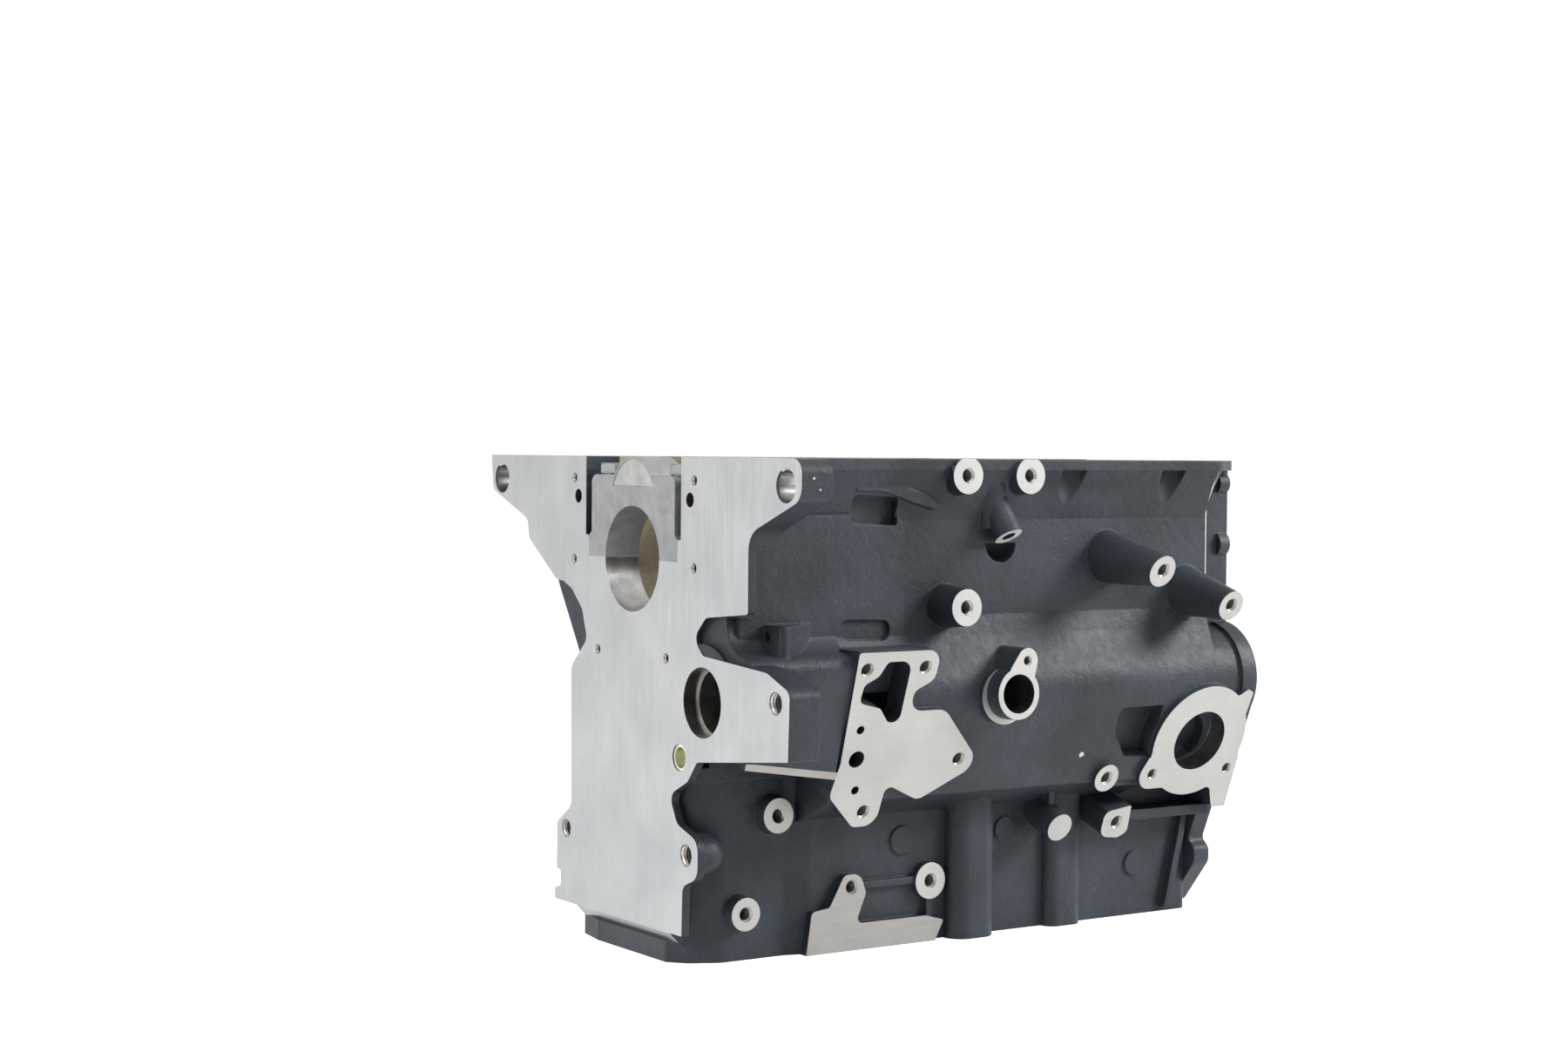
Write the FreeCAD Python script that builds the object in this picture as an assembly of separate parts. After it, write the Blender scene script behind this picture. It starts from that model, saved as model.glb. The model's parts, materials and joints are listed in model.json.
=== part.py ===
# Four-cylinder engine block in cast iron, with its five main caps, bolts and plugs.
# It stands upside down, on its cylinder head face. All sizes are in millimetres.
# x runs from the flywheel face to the timing face, y across, z up from the head face.
# Every solid is built with the flywheel face at x = 0, then moved so that x = 0 is mid-length.

import FreeCAD
import Part
import math
import os

# Overall sizes
deckHeight = 220.0
railHeight = 56.9
cylinderCount = 4
cylinderBore = 79.5
borePitch = 88.0
firstCylinder = 55.0

# Crankcase
crankClearance = 80.0
crankcaseHalfWidth = 92.0
mainBore = 59.0
webThickness = 22.0
railHalfWidth = 104.0
railThickness = 6.0
bayCorner = 22.0

# Main caps
capHalfWidth = 45.4
registerHalfWidth = 48.8
registerHeight = 12.0
slotHalfWidth = 52.0
capSeatHeight = 46.5
capBoltSpacing = 76.0
capBoltSize = 10.0
boltHeadWidth = 16.0
boltHeadHeight = 6.6
boltReach = 78.0
crownRadius = 25.0
crownHeight = 10.2

# Cylinder jacket
deckHalfWidth = 64.6
deckRimHeight = 12.0
jacketWall = 57.0
padFace = 62.0
endSetBack = 7.0

# Intermediate shaft tunnel
tunnelAcross = -74.7
tunnelHeight = 145.9
tunnelRadius = 31.5
tunnelRimRadius = 33.5
tunnelRimLength = 12.0
shaftBore = 38.0
bushWall = 1.5
bushLength = 18.0
bushSetBack = 9.0
tunnelCore = 42.0

# The machined side plane: filter flange, pump flange and mounting bosses all lie on it
sideTilt = 20.8
sideAcross = -97.7
sideHeight = 109.1

# Flywheel-end flange
flangeBand = 5.0
flangeThickness = 12.0
earThickness = 19.0
flangeHole = 16.0

# Oil filter flange
windowDepth = 16.0

# Oil gallery
galleryAcross = -52.3
galleryHeight = 114.3
galleryPlug = 14.7

vector = FreeCAD.Vector
dipstickMouth = vector(185.5, -102.5, 233.5)
dipstickWay = vector(-0.12, 0.5, 0.86)
blockLength = 2 * firstCylinder + borePitch * (cylinderCount - 1)
crankHeight = deckHeight
railFace = deckHeight + railHeight
cylinderCentres = [firstCylinder + borePitch * number for number in range(cylinderCount)]
webCentres = [firstCylinder + borePitch * (number - 0.5) for number in range(cylinderCount + 1)]

# Working frames. Local x, y, z become:
# endFrame: across, up, forwards; wallFrame: along, up, outwards on the filter side;
# farFrame: along, down, outwards on the far side; sideFrame: along, up, outwards on the side plane
deckFrame = FreeCAD.Placement()
endFrame = FreeCAD.Placement(vector(0, 0, 0), FreeCAD.Rotation(vector(1, 1, 1), 120))
wallFrame = FreeCAD.Placement(vector(0, 0, 0), FreeCAD.Rotation(vector(1, 0, 0), 90))
farFrame = FreeCAD.Placement(vector(0, 0, 0), FreeCAD.Rotation(vector(1, 0, 0), -90))
sideFrame = FreeCAD.Placement(
    vector(0, sideAcross, sideHeight), FreeCAD.Rotation(vector(1, 0, 0), 90 + sideTilt)
)


def roundedWire(corners):
    # A closed outline through corner points (x, y) or (x, y, rounding radius)
    stretches = []
    for index, corner in enumerate(corners):
        here = vector(corner[0], corner[1], 0)
        radius = corner[2] if len(corner) > 2 else 0
        if radius == 0:
            stretches.append((here, None, here))
            continue
        before = vector(corners[index - 1][0], corners[index - 1][1], 0) - here
        following = corners[(index + 1) % len(corners)]
        after = vector(following[0], following[1], 0) - here
        before.normalize()
        after.normalize()
        half = before.getAngle(after) / 2
        reach = radius / math.tan(half)
        inwards = before + after
        inwards.normalize()
        middle = here + inwards * (radius / math.sin(half) - radius)
        stretches.append((here + before * reach, middle, here + after * reach))
    edges = []
    for index, (start, middle, end) in enumerate(stretches):
        if middle is not None:
            edges.append(Part.Arc(start, middle, end).toShape())
        nextStart = stretches[(index + 1) % len(stretches)][0]
        if end.distanceToPoint(nextStart) > 0.001:
            edges.append(Part.makeLine(end, nextStart))
    return Part.Wire(edges)


def slab(corners, low, high, frame):
    # The outline drawn out from low to high along the frame's third direction
    solid = Part.Face(roundedWire(corners)).extrude(vector(0, 0, high - low))
    solid.translate(vector(0, 0, low))
    solid.Placement = frame.multiply(solid.Placement)
    return solid


def rod(radius, across, up, low, high, frame):
    solid = Part.makeCylinder(radius, high - low, vector(across, up, low))
    solid.Placement = frame
    return solid


def taper(lowRadius, highRadius, across, up, low, high, frame):
    solid = Part.makeCone(lowRadius, highRadius, high - low, vector(across, up, low))
    solid.Placement = frame
    return solid


def arm(first, second, low, high, frame):
    # A lug between two circles (x, y, radius), with straight tangent sides
    start = vector(first[0], first[1], 0)
    end = vector(second[0], second[1], 0)
    way = end - start
    spread = math.acos((first[2] - second[2]) / way.Length)
    heading = math.atan2(way.y, way.x)

    def onCircle(centre, radius, angle):
        return centre + vector(math.cos(angle), math.sin(angle), 0) * radius

    startLeft = onCircle(start, first[2], heading + spread)
    startRight = onCircle(start, first[2], heading - spread)
    endLeft = onCircle(end, second[2], heading + spread)
    endRight = onCircle(end, second[2], heading - spread)
    startFar = onCircle(start, first[2], heading + math.pi)
    endFar = onCircle(end, second[2], heading)
    wire = Part.Wire(
        [
            Part.makeLine(startRight, endRight),
            Part.Arc(endRight, endFar, endLeft).toShape(),
            Part.makeLine(endLeft, startLeft),
            Part.Arc(startLeft, startFar, startRight).toShape(),
        ]
    )
    solid = Part.Face(wire).extrude(vector(0, 0, high - low))
    solid.translate(vector(0, 0, low))
    solid.Placement = frame.multiply(solid.Placement)
    return solid


def block(lowX, highX, lowY, highY, lowZ, highZ):
    return Part.makeBox(highX - lowX, highY - lowY, highZ - lowZ, vector(lowX, lowY, lowZ))


def onSide(height):
    # Distance up the side plane of a point at this height above the head face
    return (height - sideHeight) / math.cos(math.radians(sideTilt))


# The flywheel face: (across, up, rounding)
flangeOutline = [
    (-167.8, railFace, 8),
    (-167.8, crankHeight + 36, 10),
    (-119, crankHeight + 17.2, 13),
    (-119, crankHeight - 24.5, 2),
    (-78, crankHeight - 28.5, 7),
    (-66, crankHeight - 40, 6),
    (-75, crankHeight - 49, 6),
    (-137.1, crankHeight - 53.4, 10),
    (-158.5, crankHeight - 62, 6),
    (-157.3, 122.6, 1),
    (-70, 113.5, 4),
    (-60.6, 102, 6),
    (-42, 93, 6),
    (-50, 78, 8),
    (-71.5, 71, 9),
    (-71.5, 51, 9),
    (-56.2, 45, 6),
    (-55.5, 17.5, 1),
    (86.3, 17.5, 1),
    (86.4, 24, 2),
    (79.5, 26, 2),
    (79.7, 35, 1.5),
    (84.4, 35.5, 1.5),
    (84.2, 63, 4),
    (67.5, 74, 8),
    (68.6, crankHeight - 65, 8),
    (50, crankHeight - 48, 6),
    (56, crankHeight - 31, 8),
    (68, crankHeight - 20, 8),
    (78, crankHeight - 16, 6),
    (87, crankHeight - 15, 6),
    (121, crankHeight + 8, 8),
    (122.5, crankHeight + 19, 6),
    (167, crankHeight + 36, 6),
    (169.2, railFace, 0),
]


def crankcaseBody():
    # Skirt and upper cylinder bank in one section; the skirt steps in near the timing face
    pieces = []
    for half, low, high in ((crankcaseHalfWidth, 4, blockLength - 29), (80, blockLength - 30, blockLength)):
        section = [
            (-half, railFace - 2),
            (half, railFace - 2),
            (half, crankHeight - 16, 12),
            (62, crankHeight - 62, 12),
            (60, 100),
            (-jacketWall, 100),
            (-jacketWall, crankHeight - 48),
            (-half, crankHeight - 48),
        ]
        pieces.append(slab(section, low, high, endFrame))
    rimStart = blockLength - tunnelRimLength
    pieces.append(rod(tunnelRadius, tunnelAcross, tunnelHeight, 0.5, rimStart + 1, endFrame))
    pieces.append(rod(tunnelRimRadius, tunnelAcross, tunnelHeight, rimStart, blockLength - 0.5, endFrame))
    # Apron: a sloped wall from the tunnel down to a crease above the cylinder jacket
    slope = math.radians(sideTilt)
    touchAcross = tunnelAcross - tunnelRadius * math.cos(slope)
    touchHeight = tunnelHeight - tunnelRadius * math.sin(slope)
    crease = 88.3
    apronSection = [
        (-jacketWall + 8, crease - 17),
        (touchAcross + (touchHeight - crease) * math.tan(slope), crease, 3),
        (touchAcross, touchHeight),
        (tunnelAcross, tunnelHeight),
        (-jacketWall + 8, tunnelHeight + 30),
    ]
    pieces.append(slab(apronSection, 74, 312, endFrame))
    # Cove between the skirt wall and the top of the tunnel
    coveSection = [(-90, 190), (-91.8, 190), (-95.5, 178, 14), (-103.6, 158.2), (-90, 158.2)]
    pieces.append(slab(coveSection, 16, 345, endFrame))
    return pieces


def starterBody():
    # Thick body from the starter lug to the filter flange: a shelf on top that sweeps up to the
    # skirt, a shallow valley down the side, and a lower lip that touches the side plane
    section = [
        (-85, 191),
        (-92.3, 191),
        (-95, 173.5, 16),
        (-119.6, 171, 8),
        (-107.4, 141, 30),
        (-96.2, 105.5),
        (-60, 105.5),
        (-60, 160),
    ]
    underside = slab([(-1, 8), (84, -5), (84, -60), (-1, -60)], -60, 5, sideFrame)
    body = slab(section, 4, 72, endFrame).cut(underside)
    # Drilled boss that stands on the shelf, against the skirt
    boss = slab([(26, -84), (26, -112, 3), (31, -112, 5), (60, -92), (60, -84)], 168, 188, deckFrame)
    return [body, boss]


def deckBody():
    # Cylinder jacket, and the rim that runs round the head face on the other three sides
    filterSide = [
        (366, -jacketWall, 6),
        (82, -jacketWall, 12),
        (68, -53, 12),
        (27, -53, 10),
        (11, -45, 8),
    ]
    plan = [(endSetBack, deckHalfWidth - 4, 4), (366, deckHalfWidth - 4, 8)] + filterSide + [(endSetBack, -40)]
    rimPlan = [(endSetBack, deckHalfWidth, 4), (366, deckHalfWidth, 8)] + filterSide + [(2.5, -35, 3), (2.5, 40, 3)]
    return [slab(plan, 0, 135, deckFrame), slab(rimPlan, 0, deckRimHeight, deckFrame)]


def rearFlange():
    band = slab(flangeOutline, 0, flangeBand, endFrame)
    plate = slab(flangeOutline, 0, flangeThickness, endFrame).common(block(0, 50, 0, 180, 14, railFace))
    ears = slab(flangeOutline, 0, earThickness, endFrame)
    rightEar = ears.common(block(-1, 50, 93, 180, crankHeight + 16, railFace))
    leftEar = ears.common(block(-1, 50, -180, -93, crankHeight + 8, railFace))
    starterLug = ears.common(block(-1, 50, -180, -75, 112, crankHeight - 45))
    # Round-backed boss behind the lower threaded hole
    lowerBoss = rod(11.6, -59.4, 62.1, 1, 10, endFrame)
    bossEnd = Part.makeSphere(11.6, vector(10, -59.4, 62.1))
    # The skirt sweeps out to the edge of the flange
    sweep = slab([(4, -118.5), (20, -97, 14), (24, -84), (4, -84)], crankHeight - 27, crankHeight + 20, deckFrame)
    # The foot of the flange slopes back to the recessed head face
    foot = slab([(0, 24), (12, 24), (12, 8), (5.5, 11.5), (0, 17.2)], -60, 44, wallFrame)
    return [band, plate, rightEar, leftEar, starterLug, lowerBoss, bossEnd, sweep, foot]


def frontWall():
    outline = [
        (-80, railFace - 2),
        (80, railFace - 2),
        (80, crankHeight - 20, 12),
        (66, crankHeight - 55, 10),
        (64, 4, 4),
        (-46, 3, 4),
        (-67.5, 30, 7),
        (-67.5, 38.5, 5),
        (-61.5, 43.5, 4),
        (-70, 64, 4),
        (-82, 76, 3),
        (-105, 133.5),
        (-80, 172),
    ]
    wall = slab(outline, blockLength - 12, blockLength, endFrame)
    # Two small lumps down the edge of the skirt
    upperLump = rod(6.5, -77, crankHeight + 43, blockLength - 9, blockLength - 1, endFrame)
    lowerLump = rod(7.5, -76.5, crankHeight + 6, blockLength - 9, blockLength - 1, endFrame)
    return [wall, upperLump, lowerLump]


def panRail():
    # The flange the sump bolts to, on both sides, with a cove below it
    plan = [
        (0, railHalfWidth),
        (blockLength - 28, railHalfWidth, 14),
        (blockLength, 84, 6),
        (blockLength, -84, 6),
        (blockLength - 28, -railHalfWidth, 14),
        (0, -railHalfWidth),
    ]
    pieces = [slab(plan, railFace - railThickness, railFace, deckFrame)]
    for side in (1, -1):
        cove = [
            (side * 88, railFace - 1),
            (side * railHalfWidth, railFace - 1),
            (side * railHalfWidth, railFace - railThickness),
            (side * (crankcaseHalfWidth + 6), railFace - 17, 10),
            (side * crankcaseHalfWidth, railFace - 34),
            (side * 88, railFace - 34),
        ]
        pieces.append(slab(cove, 10, blockLength - 30, endFrame))
        # Conical gusset under the timing-end corner
        top = railFace - railThickness
        pieces.append(taper(4.5, 15.5, blockLength - 33, side * 88, top - 23, top + 1, deckFrame))
    return pieces


def railScoops():
    # Hollows under the rail between the sump bolts
    scoops = []
    for centre in (232.5, 308.5):
        scoops.append(rod(9, centre, -railHalfWidth, railFace - 28, railFace - railThickness, deckFrame))
    return scoops


def sidePads():
    # Oil filter flange: body outline, then the water pump flange
    filterOutline = [
        (69.5, 68.5, 1.5),
        (124.5, 68.5, 9),
        (124.5, 50.5, 7),
        (112.5, 44, 5),
        (112.5, 31.8, 8),
        (137, 31.8, 12),
        (170.9, -3.6, 9),
        (133, -24.2, 8),
        (108.5, -12.5, 4),
        (107.5, -38, 9),
        (92, -38, 6),
        (71.5, -18, 7),
        (74, 2, 4),
    ]
    filterPad = slab(filterOutline, -44, 0, sideFrame).common(block(0, 400, -200, 0, 0, 174))
    # The lip below the starter body
    lip = slab([(12, 6.5), (80, -4), (80, -8.5), (12, 2.5)], -20, 0, sideFrame)
    pumpRing = rod(36, 337, 0, -44, 0, sideFrame)
    lowerLug = arm((337, 0, 30), (306, -20.5, 9.5), -30, 0, sideFrame)
    upperTab = slab([(352, 26), (361, 29.5, 2), (365.5, 32.6, 1), (370.5, 30.5, 1), (369, 10), (350, 0)], -30, 0, sideFrame)
    cornerPad = slab(
        [(345, 10), (368, 10), (367.8, 1, 2), (373, -12, 2), (373.5, -46.6), (362.5, -46.6, 2), (356.5, -33, 3), (345, -30)],
        -34, 0, sideFrame,
    )
    pieces = [filterPad, lip, pumpRing, lowerLug, upperTab, cornerPad]
    # Small bosses whose faces lie on the same plane: two round, one with a straight side
    for along, up, radius, depth in ((270.6, -20.4, 8.7, 24), (244.4, -50.9, 8.6, 30)):
        pieces.append(taper(radius + 1.5, radius, along, up, -depth, 0, sideFrame))
    shield = [(277, -43.5, 5), (296.5, -40.3, 1), (298.5, -58, 4), (292, -61.5, 3), (277.5, -60, 7)]
    pieces.append(slab(shield, -32, 0, sideFrame))
    return pieces


def mountingArms():
    # Two tapered arms reach out from the skirt; their ends lie on the side plane
    keepUnder = slab([(200, -200), (400, -200), (400, 200), (200, 200)], -200, 0, sideFrame)
    arms = []
    for along, up, tipAcross, tipUp, rootRadius, tipRadius in (
        (267.5, 221, -137, 214, 16.5, 8.2),
        (329, 200, -129, 192.3, 16, 7.7),
    ):
        root = vector(along, -86, up)
        tip = vector(along + 2.5, tipAcross, tipUp)
        way = tip - root
        shaft = Part.makeCone(rootRadius, tipRadius, way.Length + 8, root, way)
        arms.append(shaft.common(keepUnder))
    return arms


def wallBosses():
    # Ring bosses on the skirt: two under the sump rail, one lower down
    pieces = []
    for along in (153, 197.5):
        pieces.append(taper(12, 10.3, along, 267.7, 88, 107, wallFrame))
    pieces.append(slab([(141.5, 272.5, 1), (150, 276), (150, 261), (143.5, 264, 2)], 88, 106.8, wallFrame))
    pieces.append(taper(13, 10.3, 148.2, 194.8, 88, 113, wallFrame))
    # Vacuum pump seat: a disc with a lug above it
    pieces.append(taper(17, 14.5, 180, 146.2, 70, 120, wallFrame))
    pieces.append(arm((182, 156, 9), (186, 164.5, 7.2), 80, 120, wallFrame))
    pieces.append(rod(16, 178.2, 144.3, 80, 110, wallFrame))
    # Raised panel beside the flywheel flange, with the rib that curves above it
    panel = [(10, 172), (118.5, 172), (118.5, 246, 10), (10, 246)]
    pieces.append(slab(panel, 84, 95, wallFrame))
    rib = [
        (83, 267, 2),
        (97, 266, 10),
        (129, 258, 12),
        (141, 251.5, 1.5),
        (137.5, 248.5, 1.5),
        (120, 253, 12),
        (103, 258.5, 8),
        (83, 259.5, 1),
    ]
    pieces.append(slab(rib, 84, 98.7, wallFrame))
    # Dipstick boss: runs down from the rail, then leans away from the wall
    pieces.append(taper(7.5, 10.5, 180.5, -91, 238, railFace - 3, deckFrame))
    pieces.append(Part.makeCylinder(8.2, 30, dipstickMouth, dipstickWay))
    return pieces


def wallHollows():
    # Cast hollows of the skirt: pocket under the rib, oval recess, scoop under the dipstick boss
    pocket = slab([(82, 257, 3), (113, 255.5, 3), (113, 240, 2), (82, 241.5, 2)], 88.5, 110, wallFrame)
    oval = slab([(75.5, 189, 5), (108.5, 188, 5), (108.5, 177, 5), (75.5, 178, 5)], 92.7, 99, wallFrame)
    scoop = Part.makeSphere(10.8, vector(188, -90.5, 229)).common(block(170, 206, -120, -60, 200, 229.5))
    return [pocket, oval, scoop]


def lowerDetails():
    # Head-face side: bracket pad, ring bosses, two half-round columns and thin ribs
    pieces = []
    padOutline = [
        (77.5, 0),
        (81, 24, 3),
        (93, 25.5, 3),
        (103, 43, 4),
        (114, 43, 7),
        (118, 32, 4),
        (111, 15, 3),
        (160, 15, 3),
        (173, 11.5, 1),
        (167, 0),
    ]
    pieces.append(slab(padOutline, 45, padFace, wallFrame))
    pieces.append(taper(12, 10.5, 163.3, 34.8, 45, padFace, wallFrame))
    pieces.append(slab([(110, 34), (164, 34), (164, 38), (110, 38)], 50, 60.5, wallFrame))
    pieces.append(slab([(161.5, 30), (165.5, 30), (165.5, 10), (161.5, 10)], 50, 60.5, wallFrame))
    for along, up, radius in ((59, 79.6, 9.8), (38, 26.8, 9.2)):
        pieces.append(taper(radius + 3, radius, along, up, 40, 61, wallFrame))
    # Columns
    pieces.append(slab([(176.5, -50), (176.5, -69, 11), (208.5, -69, 11), (208.5, -50)], 0, 96, deckFrame))
    pieces.append(slab([(249, -50), (249, -65, 8), (276, -65, 8), (276, -50)], 0, 90, deckFrame))
    # Cast discs
    for along, up, radius in ((146, 58.8, 8.2), (221, 59.6, 7.6), (321.5, 31.3, 7.6)):
        pieces.append(rod(radius, along, up, 50, 58.2, wallFrame))
    # Ribs to the water pump and the front wall
    pieces.append(slab([(358, 66), (363, 66), (347.5, 3), (342.5, 3)], 50, 62, wallFrame))
    pieces.append(block(286, 366, -75, -50, 61, 67))
    pieces.append(block(268, 306, -84, -50, 84, 90))
    pieces.append(block(242.5, 246.5, -72, -50, 60, 92))
    return pieces


def farSide():
    # Jacket wall with three core plug seats
    pieces = []
    for along in cylinderCentres[:-1]:
        pieces.append(rod(22, along + borePitch / 2, -70, 50, 64, farFrame))
    return pieces


def crankcaseCuts():
    cuts = []
    inner = crankClearance + 2
    bay = [
        (-inner, railFace + 10),
        (inner, railFace + 10),
        (inner, crankHeight - crankClearance, crankClearance),
        (-inner, crankHeight - crankClearance, crankClearance),
    ]
    halfBay = (borePitch - webThickness) / 2
    for centre in cylinderCentres:
        low = centre - halfBay
        high = centre + halfBay
        plan = [
            (low, 1 - inner, bayCorner),
            (high, 1 - inner, bayCorner),
            (high, inner - 1, bayCorner),
            (low, inner - 1, bayCorner),
        ]
        hollow = slab(bay, low, high, endFrame)
        cuts.append(hollow.common(slab(plan, 100, railFace + 10, deckFrame)).removeSplitter())
    # The inner webs stop short of the rail
    webTop = [
        (-70, railFace + 23),
        (70, railFace + 23),
        (70, crankHeight + 42),
        (58, crankHeight + 18),
        (-58, crankHeight + 18),
        (-70, crankHeight + 42),
    ]
    cuts.append(slab(webTop, webThickness, blockLength - webThickness, endFrame))
    # Seats for the caps, and the crank bore
    slot = crankHeight + registerHeight
    cuts.append(block(-1, blockLength + 1, -registerHalfWidth, registerHalfWidth, crankHeight, slot + 1))
    cuts.append(block(-1, blockLength + 1, -slotHalfWidth, slotHalfWidth, slot, railFace + 10))
    cuts.append(rod(mainBore / 2, 0, crankHeight, -1, blockLength + 1, endFrame))
    for centre in cylinderCentres:
        cuts.append(rod(cylinderBore / 2, centre, 0, -1, 150, deckFrame))
    return cuts


def holeCuts():
    cuts = []
    # Cap bolt holes in every web
    for centre in webCentres:
        for side in (1, -1):
            across = side * capBoltSpacing / 2
            depth = crankHeight - (boltReach - capSeatHeight) - 4
            cuts.append(rod(capBoltSize / 2, centre, across, depth, crankHeight + 1, deckFrame))
    # Intermediate shaft: bush seats at both ends, cored larger between them
    cuts.append(rod(shaftBore / 2, tunnelAcross, tunnelHeight, -1, blockLength + 1, endFrame))
    coreEnd = bushSetBack + bushLength + 3
    cuts.append(rod(tunnelCore / 2, tunnelAcross, tunnelHeight, coreEnd, blockLength - coreEnd, endFrame))
    # Flywheel face
    for across in (155.4, -153.5):
        cuts.append(rod(flangeHole / 2, across, crankHeight + 42.9, -1, 40, endFrame))
        cuts.append(taper(flangeHole / 2 + 2, flangeHole / 2 - 0.5, across, crankHeight + 42.9, -1, 1.5, endFrame))
    for across, up, size, depth in (
        (-145.5, 151.5, 12, 26),
        (73.1, 60.3, 10.5, 22),
        (-59.4, 62.1, 12, 22),
        (61, crankHeight + 33.9, 8, 12),
        (-61, crankHeight + 33.9, 8, 12),
        (65.4, crankHeight + 44.4, 5.6, 16),
        (-65.4, crankHeight + 44.4, 5.6, 16),
        (65.4, crankHeight - 2.6, 5.6, 16),
        (-65.4, crankHeight - 2.6, 5.6, 16),
        (37.4, crankHeight - 52.9, 5.6, 16),
        (-37.4, crankHeight - 52.9, 5.6, 16),
    ):
        cuts.append(rod(size / 2, across, up, -1, depth, endFrame))
    # Gallery plug seats
    for low, high in ((-1, 16), (blockLength - 16, blockLength + 1)):
        cuts.append(rod(galleryPlug / 2, galleryAcross, galleryHeight, low, high, endFrame))
    # Oil filter flange: bolt holes, oil ways and the window
    for along, up in ((77, 58.3), (116, 58.3), (155, 0), (97, -28.6)):
        cuts.append(rod(4, along, up, -18, 1, sideFrame))
    for along, up, radius in ((82, 22.2, 2.5), (84, 4.3, 5), (88, -14.8, 2.5)):
        cuts.append(rod(radius, along, up, -20, 1, sideFrame))
    window = [
        (90, 62.5, 3),
        (106, 62.5, 7),
        (107, 25, 5),
        (99, 26, 4),
        (92, 34.5, 4),
        (77, 38.5, 4),
        (77.5, 49, 4),
        (86, 54, 3),
    ]
    cuts.append(slab(window, -windowDepth, 1, sideFrame))
    # Water pump bore with its chamber, and its bolt holes
    cuts.append(rod(19.3, 337, 0, -13, 1, sideFrame))
    cuts.append(rod(15.5, 336, -3, -21, 0, sideFrame))
    for along, up in ((306, -20.1), (366, -20.1)):
        cuts.append(rod(3.4, along, up, -16, 1, sideFrame))
    # Cast hollow between the apron and the pump flange
    cuts.append(slab([(269, 24, 4), (303, 24), (303, -9), (283, -9, 5), (270, 8, 5)], -13, 1, sideFrame).cut(
        rod(36.5, 337, 0, -44, 1, sideFrame)))
    # Threaded holes in the round bosses
    for along, up, radius, depth in ((270.6, -20.4, 4.2, 18), (288, -50.8, 4.2, 18)):
        cuts.append(rod(radius, along, up, -depth, 1, sideFrame))
    for along, up in ((270.5, onSide(214.1)), (331.5, onSide(192.3))):
        cuts.append(rod(4.2, along, up, -24, 1, sideFrame))
    for along, up, radius, face in (
        (153, 267.7, 4.2, 107),
        (197.5, 267.7, 4.2, 107),
        (148.2, 194.8, 4.2, 113),
        (186, 164.5, 2.8, 120),
        (108, 35.9, 4, padFace),
        (163.3, 34.8, 4.2, padFace),
        (59, 79.6, 4.2, 61),
        (38, 26.8, 4.2, 61),
    ):
        cuts.append(rod(radius, along, up, face - 14, face + 1, wallFrame))
    cuts.append(rod(11, 180, 146.2, 74, 121, wallFrame))
    # Dipstick hole, and the hole in the boss above the starter lug
    cuts.append(Part.makeCylinder(4, 16, dipstickMouth - dipstickWay, dipstickWay))
    cuts.append(rod(2.5, -98, 181.6, 20, 38, endFrame))
    # Sump bolt holes along the rail
    for side in (1, -1):
        for along in (14, 76, 139, 200, 260, 318):
            cuts.append(rod(2.6, along, side * 96.5, railFace - 9, railFace + 1, deckFrame))
    # Head bolt holes and coolant holes in the head face
    for along, across in headBolts():
        cuts.append(rod(5.1, along, across, -1, 70, deckFrame))
    for centre in cylinderCentres:
        for side in (1, -1):
            cuts.append(rod(3.2, centre, side * 46.5, -1, 24, deckFrame))
    # Core plug seats on the far side
    for along in cylinderCentres[:-1]:
        cuts.append(rod(16, along + borePitch / 2, -70, 56, 66, farFrame))
    return cuts


def headBolts():
    places = []
    for centre in webCentres[1:-1]:
        places.append((centre, 46))
        places.append((centre, -46))
    for along in (firstCylinder - 38, cylinderCentres[-1] + 38):
        places.append((along, 37.5))
        places.append((along, -37.5))
    return places


def cylinderBlock():
    pieces = crankcaseBody() + deckBody() + rearFlange() + frontWall() + panRail()
    pieces += sidePads() + mountingArms() + wallBosses() + lowerDetails() + farSide()
    pieces += starterBody()
    body = pieces[0].fuse(pieces[1:])
    # The head face and the sump rail are milled flat right across
    body = body.common(block(0, blockLength, -200, 200, 0, railFace))
    body = body.cut(railScoops() + wallHollows())
    body = body.cut(crankcaseCuts())
    body = body.cut(holeCuts())
    return body.removeSplitter()


def mainCap(centre):
    seat = crankHeight + capSeatHeight
    slot = crankHeight + registerHeight
    half = capHalfWidth
    outline = [
        (-registerHalfWidth, crankHeight),
        (-registerHalfWidth, slot - 0.5, 2),
        (-half, slot + 2, 1),
        (-half, seat, 5),
        (half, seat, 5),
        (half, slot + 2, 1),
        (registerHalfWidth, slot - 0.5, 2),
        (registerHalfWidth, crankHeight),
    ]
    low = centre - webThickness / 2
    high = centre + webThickness / 2
    cap = slab(outline, low, high, endFrame)
    # Domed crown, with a shallow lens-shaped recess on the face towards the flywheel
    middle = seat + crownHeight - crownRadius
    crown = rod(crownRadius, 0, middle, low, high, endFrame)
    crown = crown.common(block(low, high, -half, half, seat - 1, seat + crownHeight))
    lens = rod(crownRadius - 1.2, 0, middle, low - 1, low + 0.6, endFrame)
    lens = lens.common(block(low - 1, high, -half, half, seat - 6, seat + crownHeight))
    cap = cap.fuse(crown).cut(lens)
    cap = cap.cut(rod(mainBore / 2, 0, crankHeight, low - 1, high + 1, endFrame))
    for side in (1, -1):
        across = side * capBoltSpacing / 2
        cap = cap.cut(rod(capBoltSize / 2 + 0.5, centre, across, crankHeight - 1, seat + 20, deckFrame))
    return cap.removeSplitter()


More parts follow.
